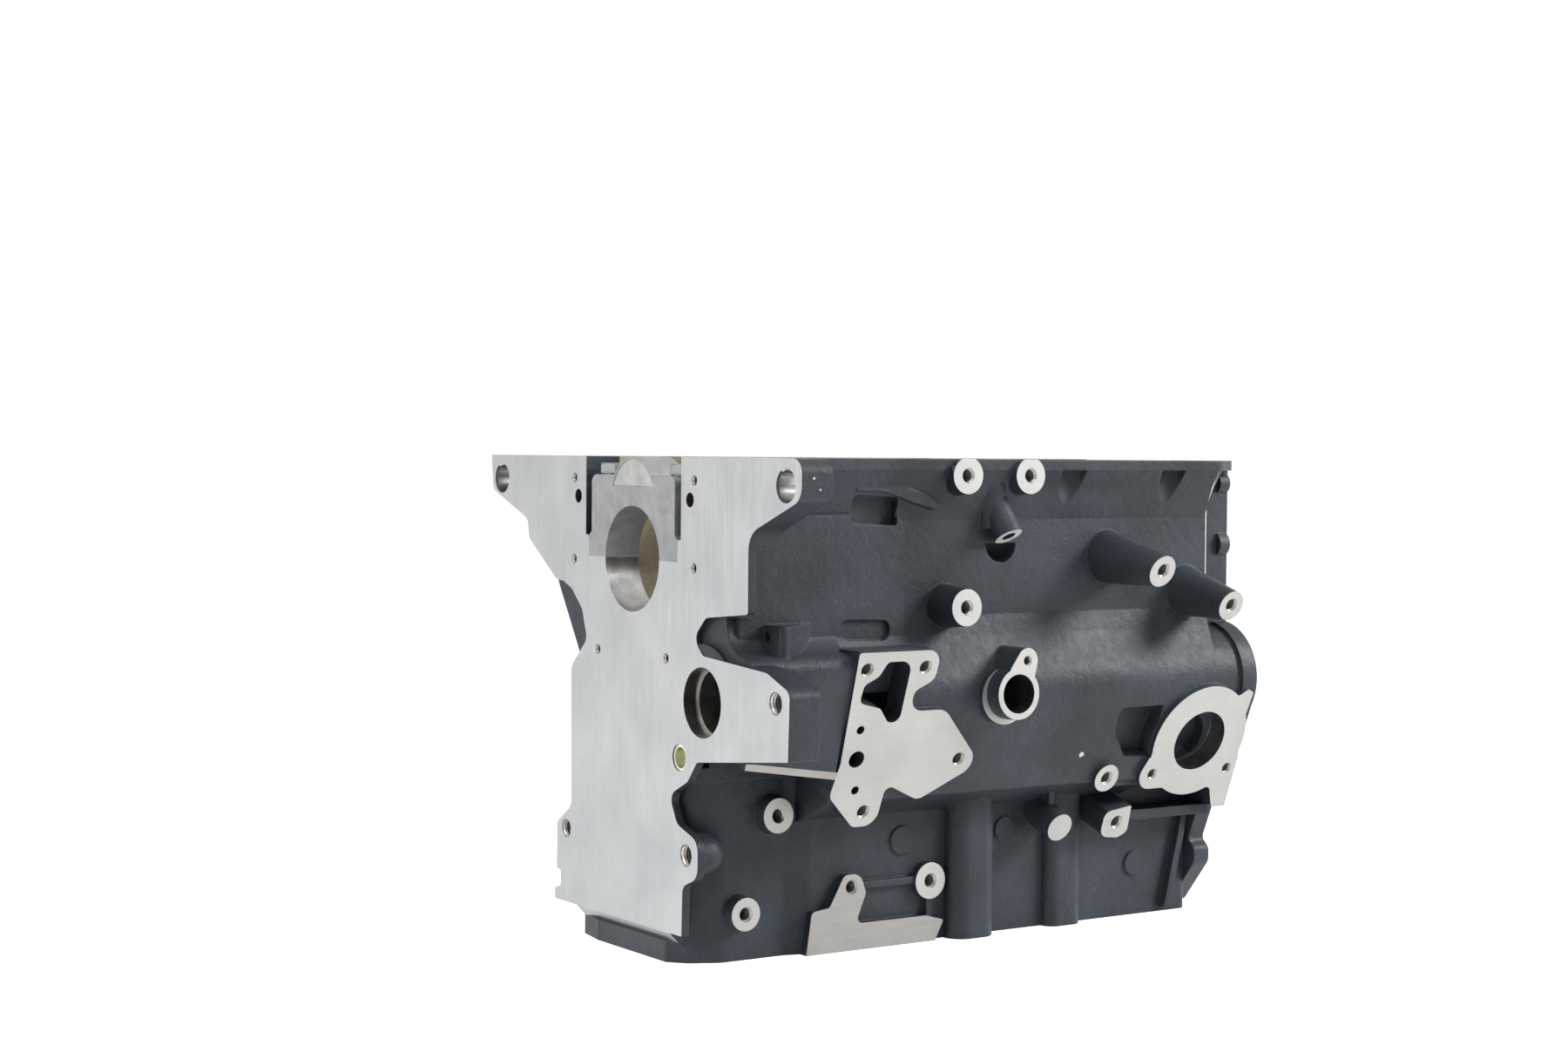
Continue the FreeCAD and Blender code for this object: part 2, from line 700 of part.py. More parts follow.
def capBolts():
    # Hexagon head with a round washer face, and a shank down into the web
    seat = crankHeight + capSeatHeight
    bolts = []
    cornerRadius = boltHeadWidth / 2 / math.cos(math.pi / 6)
    hexagon = [
        (cornerRadius * math.cos(math.pi / 3 * turn), cornerRadius * math.sin(math.pi / 3 * turn))
        for turn in range(6)
    ]
    for centre in webCentres:
        for side in (1, -1):
            head = slab(hexagon, 0.8, boltHeadHeight, deckFrame)
            chamfer = taper(boltHeadWidth / 2 + 8, boltHeadWidth / 2 - 0.4, 0, 0, 0, boltHeadHeight + 0.01, deckFrame)
            head = head.common(chamfer)
            collar = rod(boltHeadWidth / 2 - 0.2, 0, 0, 0, 1, deckFrame)
            shank = rod(capBoltSize / 2, 0, 0, -boltReach, 0.5, deckFrame)
            bolt = head.fuse([collar, shank]).removeSplitter()
            bolt.translate(vector(centre, side * capBoltSpacing / 2, seat))
            bolts.append(bolt)
    return bolts


def cupPlug(radius, depth, wall):
    # A pressed cup with its open mouth at z = 0, standing down to -depth
    cup = Part.makeCylinder(radius, depth, vector(0, 0, -depth))
    cup = cup.cut(Part.makeCylinder(radius - wall, depth, vector(0, 0, wall - depth)))
    rims = [edge for edge in cup.Edges if abs(edge.CenterOfMass.z + depth) < 0.01]
    return cup.makeChamfer(wall * 0.7, rims)


def galleryPlugs():
    rear = cupPlug(galleryPlug / 2, 8, 1.6)
    rear.rotate(vector(0, 0, 0), vector(0, 1, 0), -90)
    rear.translate(vector(0.6, galleryAcross, galleryHeight))
    front = cupPlug(galleryPlug / 2, 8, 1.6)
    front.rotate(vector(0, 0, 0), vector(0, 1, 0), 90)
    front.translate(vector(blockLength - 0.6, galleryAcross, galleryHeight))
    return rear, front


def corePlugs():
    plugs = []
    for along in cylinderCentres[:-1]:
        plug = cupPlug(16, 8, 1.8)
        plug.rotate(vector(0, 0, 0), vector(1, 0, 0), -90)
        plug.translate(vector(along + borePitch / 2, 64, 70))
        plugs.append(plug)
    return plugs


def shaftBush(low):
    outer = rod(shaftBore / 2, tunnelAcross, tunnelHeight, low, low + bushLength, endFrame)
    inner = shaftBore / 2 - bushWall
    return outer.cut(rod(inner, tunnelAcross, tunnelHeight, low - 1, low + bushLength + 1, endFrame))


def save(name, solids):
    # Writes one node's solids, moved so that the origin is mid-length on the head face
    shape = solids[0] if len(solids) == 1 else Part.makeCompound(solids)
    shape.translate(vector(-blockLength / 2, 0, 0))
    shape.exportStep("parts/" + name + ".step")
    print(name, len(shape.Solids), shape.isValid(), round(shape.Volume / 1000, 1), "cm3")


os.makedirs("parts", exist_ok=True)
save("cylinder_block", [cylinderBlock()])
for number, centre in enumerate(webCentres):
    save("main_cap_" + str(number + 1), [mainCap(centre)])
save("main_cap_bolts", capBolts())
rearPlug, frontPlug = galleryPlugs()
save("gallery_plug_rear", [rearPlug])
save("gallery_plug_front", [frontPlug])
save("core_plugs", corePlugs())
save("shaft_bush_rear", [shaftBush(bushSetBack)])
save("shaft_bush_front", [shaftBush(blockLength - bushLength - bushSetBack)])
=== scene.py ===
import bpy
import json
import math
from mathutils import Euler, Matrix, Vector


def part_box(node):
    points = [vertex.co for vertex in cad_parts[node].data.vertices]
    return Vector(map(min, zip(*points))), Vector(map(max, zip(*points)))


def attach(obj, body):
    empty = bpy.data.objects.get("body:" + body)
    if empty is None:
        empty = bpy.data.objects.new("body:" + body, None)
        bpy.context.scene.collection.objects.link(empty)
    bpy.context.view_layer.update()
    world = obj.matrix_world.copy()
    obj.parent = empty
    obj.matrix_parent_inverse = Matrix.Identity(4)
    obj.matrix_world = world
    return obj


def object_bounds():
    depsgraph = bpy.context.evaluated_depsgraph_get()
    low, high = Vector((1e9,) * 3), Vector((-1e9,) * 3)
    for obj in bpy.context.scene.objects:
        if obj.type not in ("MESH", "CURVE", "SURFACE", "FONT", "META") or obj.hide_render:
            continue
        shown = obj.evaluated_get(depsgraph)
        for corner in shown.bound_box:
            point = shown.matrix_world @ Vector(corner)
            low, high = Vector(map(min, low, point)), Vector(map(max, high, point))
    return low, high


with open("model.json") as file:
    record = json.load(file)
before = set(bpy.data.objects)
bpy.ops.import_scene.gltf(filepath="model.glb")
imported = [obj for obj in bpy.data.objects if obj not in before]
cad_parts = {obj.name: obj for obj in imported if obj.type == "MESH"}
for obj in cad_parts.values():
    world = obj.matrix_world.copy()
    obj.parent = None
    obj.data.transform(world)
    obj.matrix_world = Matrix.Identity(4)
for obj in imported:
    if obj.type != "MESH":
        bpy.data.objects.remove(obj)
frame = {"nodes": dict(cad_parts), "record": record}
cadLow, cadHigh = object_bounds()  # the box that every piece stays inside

scene = bpy.context.scene
nodes = frame["nodes"]
mounts = {mount["name"]: mount for mount in frame["record"]["mounts"]}


def newMaterial(name):
    # A material with its node tree and its main shader
    material = bpy.data.materials.new(name)
    material.use_nodes = True
    tree = material.node_tree
    shader = tree.nodes["Principled BSDF"]
    return material, tree, shader


def noise(tree, scale, detail=4.0, roughness=0.55, stretch=(1, 1, 1)):
    # Noise in object space, scale in features per metre
    place = tree.nodes.new("ShaderNodeTexCoord")
    mapping = tree.nodes.new("ShaderNodeMapping")
    mapping.inputs["Scale"].default_value = stretch
    tree.links.new(place.outputs["Object"], mapping.inputs["Vector"])
    texture = tree.nodes.new("ShaderNodeTexNoise")
    texture.inputs["Scale"].default_value = scale
    texture.inputs["Detail"].default_value = detail
    texture.inputs["Roughness"].default_value = roughness
    tree.links.new(mapping.outputs["Vector"], texture.inputs["Vector"])
    return texture.outputs["Fac"]


def ramp(tree, source, stops):
    # stops: (position, colour) pairs
    node = tree.nodes.new("ShaderNodeValToRGB")
    tree.links.new(source, node.inputs["Fac"])
    elements = node.color_ramp.elements
    while len(elements) < len(stops):
        elements.new(0.5)
    for element, (position, colour) in zip(elements, stops):
        element.position = position
        element.color = (*colour, 1.0)
    return node.outputs["Color"]


def span(tree, source, low, high):
    # Brings a 0 to 1 signal to the range low to high
    node = tree.nodes.new("ShaderNodeMapRange")
    node.inputs["To Min"].default_value = low
    node.inputs["To Max"].default_value = high
    tree.links.new(source, node.inputs["Value"])
    return node.outputs["Result"]


def mixColours(tree, share, first, second, mode="MIX"):
    # Each of share, first and second is a plain value or a signal from another node
    node = tree.nodes.new("ShaderNodeMix")
    node.data_type = "RGBA"
    node.blend_type = mode
    for socket, value in ((node.inputs[0], share), (node.inputs[6], first), (node.inputs[7], second)):
        if isinstance(value, (float, int)):
            socket.default_value = value
        elif isinstance(value, tuple):
            socket.default_value = (*value, 1.0)
        else:
            tree.links.new(value, socket)
    return node.outputs[2]


def larger(tree, first, second):
    # The larger of two signals
    node = tree.nodes.new("ShaderNodeMath")
    node.operation = "MAXIMUM"
    tree.links.new(first, node.inputs[0])
    tree.links.new(second, node.inputs[1])
    return node.outputs[0]


def bump(tree, shader, layers, edge=0.0):
    # layers: (height signal, height in metres); edge rounds sharp edges in the shading
    normal = None
    if edge:
        soft = tree.nodes.new("ShaderNodeBevel")
        soft.samples = 6
        soft.inputs["Radius"].default_value = edge
        normal = soft.outputs["Normal"]
    for height, distance in layers:
        node = tree.nodes.new("ShaderNodeBump")
        node.inputs["Distance"].default_value = distance
        node.inputs["Strength"].default_value = 1.0
        tree.links.new(height, node.inputs["Height"])
        if normal is not None:
            tree.links.new(normal, node.inputs["Normal"])
        normal = node.outputs["Normal"]
    tree.links.new(normal, shader.inputs["Normal"])


print("materials")

castIron = {
    "dark": (0.015, 0.0188, 0.0240),
    "pale": (0.047, 0.0575, 0.0705),
    "chip": (0.62, 0.61, 0.57),
    "roughLow": 0.34,
    "roughHigh": 0.58,
    "shine": 0.22,
    "grain": 0.00016,
    "lump": 0.0005,
    "edge": 0.0014,
}
paintChips = [  # place of the middle in metres, and radius
    ((0.0619, -0.0931, 0.1055), 0.0016),
    ((-0.1795, -0.1678, 0.2668), 0.0007),
    ((-0.1755, -0.1678, 0.2610), 0.0006),
    ((-0.1240, -0.0900, 0.2230), 0.0007),
]


def chipMask(tree, place, radius):
    # White inside a ragged spot round a place on the casting
    coordinate = tree.nodes.new("ShaderNodeTexCoord")
    ragged = tree.nodes.new("ShaderNodeVectorMath")
    ragged.operation = "MULTIPLY_ADD"
    texture = tree.nodes.new("ShaderNodeTexNoise")
    texture.inputs["Scale"].default_value = 0.6 / radius
    tree.links.new(coordinate.outputs["Object"], texture.inputs["Vector"])
    tree.links.new(texture.outputs["Color"], ragged.inputs[0])
    ragged.inputs[1].default_value = (radius, radius, radius)
    tree.links.new(coordinate.outputs["Object"], ragged.inputs[2])
    distance = tree.nodes.new("ShaderNodeVectorMath")
    distance.operation = "DISTANCE"
    tree.links.new(ragged.outputs["Vector"], distance.inputs[0])
    distance.inputs[1].default_value = tuple(axis + radius / 2 for axis in place)
    inside = tree.nodes.new("ShaderNodeMath")
    inside.operation = "LESS_THAN"
    tree.links.new(distance.outputs["Value"], inside.inputs[0])
    inside.inputs[1].default_value = radius
    return inside.outputs[0]


def makeCastIron():
    # Sand-cast iron under a thin dark coat, with a few chips down to the bare metal
    material, tree, shader = newMaterial("coatedCasting")
    broad = noise(tree, 14, 3)
    fine = noise(tree, 900, 5, 0.6)
    lumps = noise(tree, 160, 4, 0.6)
    colour = ramp(tree, broad, [(0.3, castIron["dark"]), (0.72, castIron["pale"])])
    speckle = ramp(tree, fine, [(0.35, (0.75, 0.75, 0.75)), (0.7, (1.2, 1.2, 1.2))])
    colour = mixColours(tree, 0.8, colour, speckle, "MULTIPLY")
    for place, radius in paintChips:
        colour = mixColours(tree, chipMask(tree, place, radius), colour, castIron["chip"])
    tree.links.new(colour, shader.inputs["Base Color"])
    roughness = span(tree, lumps, castIron["roughLow"], castIron["roughHigh"])
    tree.links.new(roughness, shader.inputs["Roughness"])
    shader.inputs["Specular IOR Level"].default_value = castIron["shine"]
    bump(tree, shader, [(lumps, castIron["lump"]), (fine, castIron["grain"])], castIron["edge"])
    return material


milled = {
    "dark": (0.405, 0.415, 0.42),
    "pale": (0.455, 0.465, 0.47),
    "roughness": 0.42,
    "streak": 0.00001,
}


def makeMilled(name, stretch, dark=None, pale=None, roughness=None):
    # Bare iron with fine cutter marks; stretch squeezes the noise across the feed
    material, tree, shader = newMaterial(name)
    streaks = noise(tree, 420, 3, 0.6, stretch)
    clouds = noise(tree, 22, 4, 0.6)
    colour = ramp(tree, streaks, [(0.25, dark or milled["dark"]), (0.75, pale or milled["pale"])])
    shade = ramp(tree, clouds, [(0.3, (0.80, 0.81, 0.82)), (0.7, (1.0, 1.0, 1.0))])
    colour = mixColours(tree, 0.8, colour, shade, "MULTIPLY")
    tree.links.new(colour, shader.inputs["Base Color"])
    shader.inputs["Metallic"].default_value = 0.75
    level = roughness or milled["roughness"]
    tree.links.new(span(tree, streaks, level - 0.08, level + 0.1), shader.inputs["Roughness"])
    bump(tree, shader, [(streaks, milled["streak"])], 0.0003)
    return material


def makePlainMetal(name, colour, roughness, metallic=1.0, grain=0.00002):
    # Metal with soft clouds in its tint and a fine grain; grain is its height in metres
    material, tree, shader = newMaterial(name)
    clouds = noise(tree, 120, 4, 0.6)
    tint = tuple(channel * 0.72 for channel in colour)
    tree.links.new(ramp(tree, clouds, [(0.3, tint), (0.7, colour)]), shader.inputs["Base Color"])
    shader.inputs["Metallic"].default_value = metallic
    tree.links.new(span(tree, clouds, roughness - 0.06, roughness + 0.08), shader.inputs["Roughness"])
    bump(tree, shader, [(noise(tree, 1400, 3), grain)], 0.0004)
    return material


coat = makeCastIron()
faceMilled = makeMilled("milledEndFace", (1, 1, 0.06))
sideMilled = makeMilled("milledSidePads", (0.08, 1, 1), (0.385, 0.382, 0.365), (0.425, 0.422, 0.405), 0.5)
# A darker copy of the side pad finish with a slightly warmer tint; the darkening is painted shade on the
# low bracket pad and on the lip below the starter body
padMilledPaintedShade = makeMilled("milledPadPaintedShade", (0.08, 1, 1), (0.27, 0.262, 0.245), (0.33, 0.322, 0.305), 0.5)
railMilled = makeMilled("milledRail", (0.05, 1, 1))
boreHoned = makePlainMetal("honedBore", (0.45, 0.44, 0.43), 0.28)
threadBright = makePlainMetal("cutThread", (0.44, 0.435, 0.42), 0.34)
# A dark copy of the thread metal: painted shade deep inside the holes
threadPaintedShade = makePlainMetal("threadInPaintedShade", (0.10, 0.095, 0.09), 0.45)
# The cut mouth of the dipstick boss, bare metal painted near white: a painted highlight
spoutMouthHighlight = makePlainMetal("cutSpoutMouthPaintedHighlight", (0.85, 0.84, 0.80), 0.4, 0.2)
innerCasting = makePlainMetal("bareInnerCasting", (0.40, 0.34, 0.245), 0.6, 0.2, 0.0002)
capIron = makePlainMetal("capSawnFace", (0.30, 0.305, 0.31), 0.5, 0.3, 0.00008)
# Lighter than the cap iron: a painted highlight for the crown of the rear cap
capCrownHighlight = makePlainMetal("capCrownPaintedHighlight", (0.46, 0.47, 0.45), 0.4, 0.6)
boltSteel = makePlainMetal("greyBoltSteel", (0.20, 0.21, 0.20), 0.42, 0.6)
zincYellow = makePlainMetal("paleYellowZinc", (0.72, 0.72, 0.55), 0.32, 0.8)
plugSteel = makePlainMetal("pressedPlugSteel", (0.52, 0.49, 0.38), 0.35)
bushMetal = makePlainMetal("bushLining", (0.42, 0.40, 0.37), 0.35)

sideNormal = Vector(mounts["water_pump_bore"]["axis"])
sidePoint = Vector(mounts["water_pump_bore"]["pos_m"])
sideUp = Vector((0, sideNormal.z, -sideNormal.y))
blockLow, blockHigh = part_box("cylinder_block")
headFace, railFace = blockLow.z, blockHigh.z
flangeFace = blockLow.x
sideReach = 0.006  # the machined faces lie this far outside their mounts

holeDepths = {
    "plainPattern": 0.03,
    "threadedPattern": 0.016,
    "threadedHole": 0.018,
    "sideScrew": 0.016,
    "wallScrew": 0.013,
    "railScrew": 0.0085,
    "bushes": 0.19,
}
smallHoles = {  # millimetres
    # These two: along the block and up the side plane, from the pump bore
    "pumpBolts": [(-31.0, -20.1), (29.0, -20.1)],
    "sideBosses": [(-66.4, -20.4), (-49.0, -50.8)],
    # The rest: places in the frame
    "wallBosses": [(-128.0, -61.0, 79.6), (-149.0, -61.0, 26.8)],
    "spigotScrew": [(-1.0, -120.0, 164.5)],
    "railPlaces": [-173.0, -111.0, -48.0, 13.0, 73.0, 131.0],
    "railAcross": 96.5,
}
smallRadii = {
    "pumpBolts": 0.0034,
    "sideBosses": 0.0042,
    "wallBosses": 0.0042,
    "spigotScrew": 0.0028,
    "rail": 0.0026,
}
roundHoles = []


def addHole(mouth, axis, radius, length, threaded):
    hole = {"mouth": mouth, "axis": axis, "radius": radius, "length": length, "threaded": threaded}
    roundHoles.append(hole)


def patternPlaces(mount):
    # The middles of the holes of a bolt pattern
    sizes = mount["dims"]
    across, up = Vector((1, 0, 0)), Vector((0, 1, 0))
    if abs(mount["axis"][0]) > 0.5:
        across, up = Vector((0, 1, 0)), Vector((0, 0, 1))
    across = across * sizes.get("spacing_x_mm", 0)
    up = up * sizes.get("spacing_y_mm", 0)
    sideways = (-0.5, 0.5) if "spacing_x_mm" in sizes else (0,)
    upwards = (-0.5, 0.5) if "spacing_y_mm" in sizes else (0,)
    for shareAcross in sideways:
        for shareUp in upwards:
            offset = across * shareAcross + up * shareUp
            yield Vector(mount["pos_m"]) + offset / 1000


def mouthOf(place, axis):
    # Where a hole of the casting opens: its middle line meets the face it was drilled from
    if axis.x < -0.9:
        return Vector((flangeFace, place.y, place.z))
    if axis.z < -0.9:
        return Vector((place.x, place.y, headFace))
    return place + axis * sideReach


def addMountHoles():
    # The holes that the record's mounts state
    for mount in mounts.values():
        sizes = mount["dims"]
        axis = Vector(mount["axis"]).normalized()
        place = Vector(mount["pos_m"])
        if mount["kind"] == "bolt_pattern":
            threaded = mount["name"] not in ("ear_holes", "seal_flange_dowels")
            depth = holeDepths["threadedPattern" if threaded else "plainPattern"]
            for spot in patternPlaces(mount):
                addHole(mouthOf(spot, axis), axis, sizes["hole_r_mm"] / 1000, depth, threaded)
        elif mount["kind"] == "threaded_hole":
            addHole(mouthOf(place, axis), axis, sizes["r_mm"] / 1000, holeDepths["threadedHole"], True)
        elif mount["kind"] == "bore":
            addHole(place, axis, sizes["r_mm"] / 1000, sizes["length_mm"] / 1000, False)


def addSmallHoles():
    # Screw holes that no mount states, and the bush bores
    pumpMouth = sidePoint + sideNormal * sideReach
    for name in ("pumpBolts", "sideBosses"):
        for along, up in smallHoles[name]:
            place = pumpMouth + Vector((along, 0, 0)) / 1000 + sideUp * up / 1000
            addHole(place, sideNormal, smallRadii[name], holeDepths["sideScrew"], True)
    for name in ("wallBosses", "spigotScrew"):
        for place in smallHoles[name]:
            outwards = Vector((0, -1, 0))
            addHole(Vector(place) / 1000, outwards, smallRadii[name], holeDepths["wallScrew"], True)
    for along in smallHoles["railPlaces"]:
        for side in (-1, 1):
            place = Vector((along / 1000, side * smallHoles["railAcross"] / 1000, railFace))
            addHole(place, Vector((0, 0, 1)), smallRadii["rail"], holeDepths["railScrew"], True)
    bushLow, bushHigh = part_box("shaft_bush_rear")
    bushMiddle = (bushLow + bushHigh) / 2
    bushRadius = (bushHigh.y - bushLow.y) / 2
    place = Vector((0, bushMiddle.y, bushMiddle.z))
    addHole(place, Vector((1, 0, 0)), bushRadius, holeDepths["bushes"], False)


addMountHoles()
addSmallHoles()


zones = {  # metres, unless a line says otherwise
    "onPlane": 0.0001,  # a facet this close to a plane lies on it
    "uprightFaces": (107.0, 113.0, 120.0, 110.0),  # mm out from the middle plane, bosses of the skirt
    "lowFaces": (62.0, 61.0),  # mm out, bosses near the head face
    "bracketFace": 62.0,  # mm out, the bracket pad and its ring boss
    "bracketEnd": -0.045,
    "bracketTop": 0.019,
    "lipEnd": 0.072,  # from the flywheel face: the lip below the starter body
    "lipTop": 0.117,
    "footDepth": 0.008,
    "headSkin": 0.0005,
    "railSkin": 0.0002,
    "innerHalfWidth": 0.083,
    "innerFloor": 0.14,
    "innerHalfLength": 0.1662,
    "endWall": 0.157,
}
facing = {  # parts of a facet's normal, 1 where it faces straight along an axis
    "straight": 0.999,
    "flush": 0.9995,
    "footSlope": -0.6,
    "spoutDown": -0.84,
    "spoutOut": -0.45,
    "spoutAside": (0.1, 0.14),
    "alongHole": 0.1,
}
holeShell = (0.9, 1.02)  # the lining of a hole lies between these shares of its radius


def onSidePlane(place):
    return abs((place - sidePoint).dot(sideNormal) - sideReach) < zones["onPlane"]


def holeLining(centre, normal):
    # Which bare metal lines a round hole, or None away from the holes
    inner, outer = holeShell
    for hole in roundHoles:
        offset = centre - hole["mouth"]
        along = offset.dot(hole["axis"])
        offset = offset - hole["axis"] * along
        if abs(along) > hole["length"] or abs(normal.dot(hole["axis"])) > facing["alongHole"]:
            continue
        if hole["radius"] * inner < offset.length < hole["radius"] * outer and normal.dot(offset) < 0:
            return threadBright if hole["threaded"] else boreHoned
    return None


def bareFace(centre, normal):
    # The milled or cut face that a facet lies on, or None on the raw casting
    outMillimetres = round(-centre.y * 1000, 1)
    facesOut = normal.y < -facing["flush"]
    if abs(normal.x) > facing["straight"] and abs(abs(centre.x) - blockHigh.x) < zones["onPlane"]:
        return faceMilled
    if normal.dot(sideNormal) > facing["flush"] and onSidePlane(centre):
        # The lip below the starter body takes the painted shade
        onLip = centre.x < flangeFace + zones["lipEnd"] and centre.z < zones["lipTop"]
        return padMilledPaintedShade if onLip else sideMilled
    slopesBack = normal.x < facing["footSlope"] and normal.z < facing["footSlope"]
    if slopesBack and centre.x < flangeFace + zones["footDepth"]:
        return faceMilled
    # The cut mouth of the dipstick boss, which wears the painted highlight
    least, most = facing["spoutAside"]
    if normal.z < facing["spoutDown"] and normal.y < facing["spoutOut"] and least < normal.x < most:
        return spoutMouthHighlight
    onHeadFace = centre.z < zones["headSkin"]
    onRail = centre.z > blockHigh.z - zones["railSkin"]
    if abs(normal.z) > facing["straight"] and (onHeadFace or onRail):
        return railMilled
    if facesOut and outMillimetres in zones["uprightFaces"]:
        return sideMilled
    if facesOut and centre.x < 0 and outMillimetres in zones["lowFaces"]:
        # The bracket pad beside its ring boss takes the painted shade
        besideRing = centre.x < zones["bracketEnd"] or centre.z < zones["bracketTop"]
        return padMilledPaintedShade if outMillimetres == zones["bracketFace"] and besideRing else sideMilled
    return None


def castFace(centre, normal):
    # The inside of the crankcase is uncoated apart from its end walls; the rest wears the coat
    facesAway = normal.y * centre.y > 0.0
    above = abs(centre.y) < zones["innerHalfWidth"] and centre.z > zones["innerFloor"]
    inside = above and abs(centre.x) < zones["innerHalfLength"] and not facesAway
    onEndWall = abs(centre.x) > zones["endWall"] and normal.x * centre.x > 0
    return innerCasting if inside and not onEndWall else coat


castingFinishes = (
    coat, faceMilled, sideMilled, railMilled, boreHoned, threadBright, innerCasting, spoutMouthHighlight, padMilledPaintedShade
)


def dressCasting():
    # Gives each facet of the casting the finish of the face or hole that it belongs to
    mesh = nodes["cylinder_block"].data
    mesh.materials.clear()
    for material in castingFinishes:
        mesh.materials.append(material)
    for polygon in mesh.polygons:
        facet = (polygon.center, polygon.normal)
        finish = holeLining(*facet) or bareFace(*facet) or castFace(*facet)
        polygon.material_index = castingFinishes.index(finish)


def dress(node, *materials):
    # Gives a node of the frame its materials; the first one goes on every facet
    mesh = nodes[node].data
    mesh.materials.clear()
    for material in materials:
        mesh.materials.append(material)


crownDepths = (0.0003, 0.002)  # the crown with the painted highlight lies between these, from the flywheel face


def dressRearCap():
    # The crown of the rear cap gets a lighter finish: a painted highlight, as light would fall on a crown
    # that slopes back from the face
    dress("main_cap_1", capIron, capCrownHighlight)
    nearest, farthest = crownDepths
    for polygon in nodes["main_cap_1"].data.polygons:
        depth = polygon.center.x - flangeFace
        onCrown = polygon.normal.x < -0.9 and nearest < depth < farthest
        polygon.material_index = 1 if onCrown else 0


print("dressing the frame")
dressCasting()
dressRearCap()
for number in range(2, 6):
    dress("main_cap_%d" % number, capIron)
dress("main_cap_bolts", boltSteel)
dress("gallery_plug_rear", zincYellow)
dress("gallery_plug_front", zincYellow)
dress("core_plugs", plugSteel)
dress("shaft_bush_rear", bushMetal)
dress("shaft_bush_front", bushMetal)

print("threads")
threadCut = {
    "pitch": 0.29,  # share of the hole's radius
    "depth": 0.62,  # share of the pitch
    "clearance": 0.00008,
    "around": 24,
    "rowsPerTurn": 5,
    "lead": 0.0009,
    "mouthGap": 0.0001,  # the groove starts this far down
    "endGap": 0.0005,
    "brightTurns": 1.6,  # deeper turns take painted shade
}
threadGroups = {  # which way the holes of each piece open
    "flangeThreads": Vector((-1, 0, 0)),
    "headThreads": Vector((0, 0, -1)),
    "railThreads": Vector((0, 0, 1)),
    "sideThreads": Vector((0, -1, 0)),
}


def threadRadius(radius, pitch, down, turn):
    # Radius of the thread at a depth below the mouth and a share of a turn
    phase = (down / pitch - turn) % 1.0
    ridge = 1.0 - abs(2.0 * phase - 1.0)
    lead = min(1.0, down / threadCut["lead"])
    return radius - threadCut["clearance"] - ridge * pitch * threadCut["depth"] * lead


def meshPiece(name, points, faces, *materials):
    # A new object in the scene, made from its points and faces
    mesh = bpy.data.meshes.new(name)
    mesh.from_pydata(points, [], faces)
    for material in materials:
        mesh.materials.append(material)
    piece = bpy.data.objects.new(name, mesh)
    scene.collection.objects.link(piece)
    return piece


def addThreads(name, holes):
    # One mesh for a group of holes: a helical V groove lines each of them, and its deeper rows take
    # painted shade
    points = []
    faces = []
    deep = []
    count = threadCut["around"]
    rowsPerTurn = threadCut["rowsPerTurn"]
    for hole in holes:
        pitch = hole["radius"] * threadCut["pitch"]
        rows = int((hole["length"] - threadCut["endGap"]) / pitch * rowsPerTurn)
        turn = hole["axis"].to_track_quat("Z", "Y").to_matrix()
        start = len(points)
        for row in range(rows + 1):
            down = threadCut["mouthGap"] + row * pitch / rowsPerTurn
            for step in range(count):
                share = step / count
                reach = threadRadius(hole["radius"], pitch, down, share)
                angle = 2 * math.pi * share
                spot = Vector((reach * math.cos(angle), reach * math.sin(angle), -down))
                points.append(hole["mouth"] + turn @ spot)
        for row in range(rows):
            for step in range(count):
                first = start + row * count + step
                second = start + row * count + (step + 1) % count
                faces.append((first, first + count, second + count, second))
                # Rows past the first turns get the painted shade
                deep.append(1 if row > threadCut["brightTurns"] * rowsPerTurn else 0)
    piece = meshPiece(name, points, faces, threadBright, threadPaintedShade)
    piece.data.polygons.foreach_set("material_index", deep)
    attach(piece, "root")


for name, opening in threadGroups.items():
    threaded = [hole for hole in roundHoles if hole["threaded"] and hole["axis"].dot(opening) > 0.9]
    addThreads(name, threaded)

print("painted highlight at the front corner")
# The path of a painted highlight along the front corner of the crankcase wall
frontCorner = {
    "inset": 0.029,  # from the front end of the casting
    "halfWidth": 0.00045,
    "path": [(-0.0920, 0.197), (-0.0920, 0.249), (-0.0970, 0.2594), (-0.1026, 0.2730)],
}


def addCornerHighlight():
    # A thin bright line along the corner of the crankcase wall: a painted highlight on the edge
    half = frontCorner["halfWidth"]
    along = blockHigh.x - frontCorner["inset"]
    section = ((-half, -half / 2), (half, -half / 2), (half, half), (-half, half))
    points = []
    faces = []
    for across, up in frontCorner["path"]:
        for shiftX, shiftY in section:
            points.append((along + shiftX, across + shiftY, up))
    for step in range(len(frontCorner["path"]) - 1):
        for side in range(4):
            first = 4 * step + side
            second = 4 * step + (side + 1) % 4
            faces.append((first, second, second + 4, first + 4))
    piece = meshPiece("frontCornerPaintedHighlight", points, faces, railMilled)
    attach(piece, "root")


addCornerHighlight()

print("studio")
studio = {
    "floorColour": (0.80, 0.80, 0.80),
    "floorGlow": 0.86,
    "floorHalf": 14.0,
    "floorGap": 0.0003,  # the floor lies this far below the part
    "worldLight": 0.14,
}
lamps = {  # place, power in watts, width and height in metres
    "keySoftbox": ((1.75, -1.25, 1.25), 62.0, (0.8, 0.8)),
    "rearSoftbox": ((-1.7, 0.2, 0.8), 22.0, (1.3, 1.1)),
    "topSoftbox": ((-0.2, -0.7, 1.7), 16.0, (1.4, 1.1)),
}


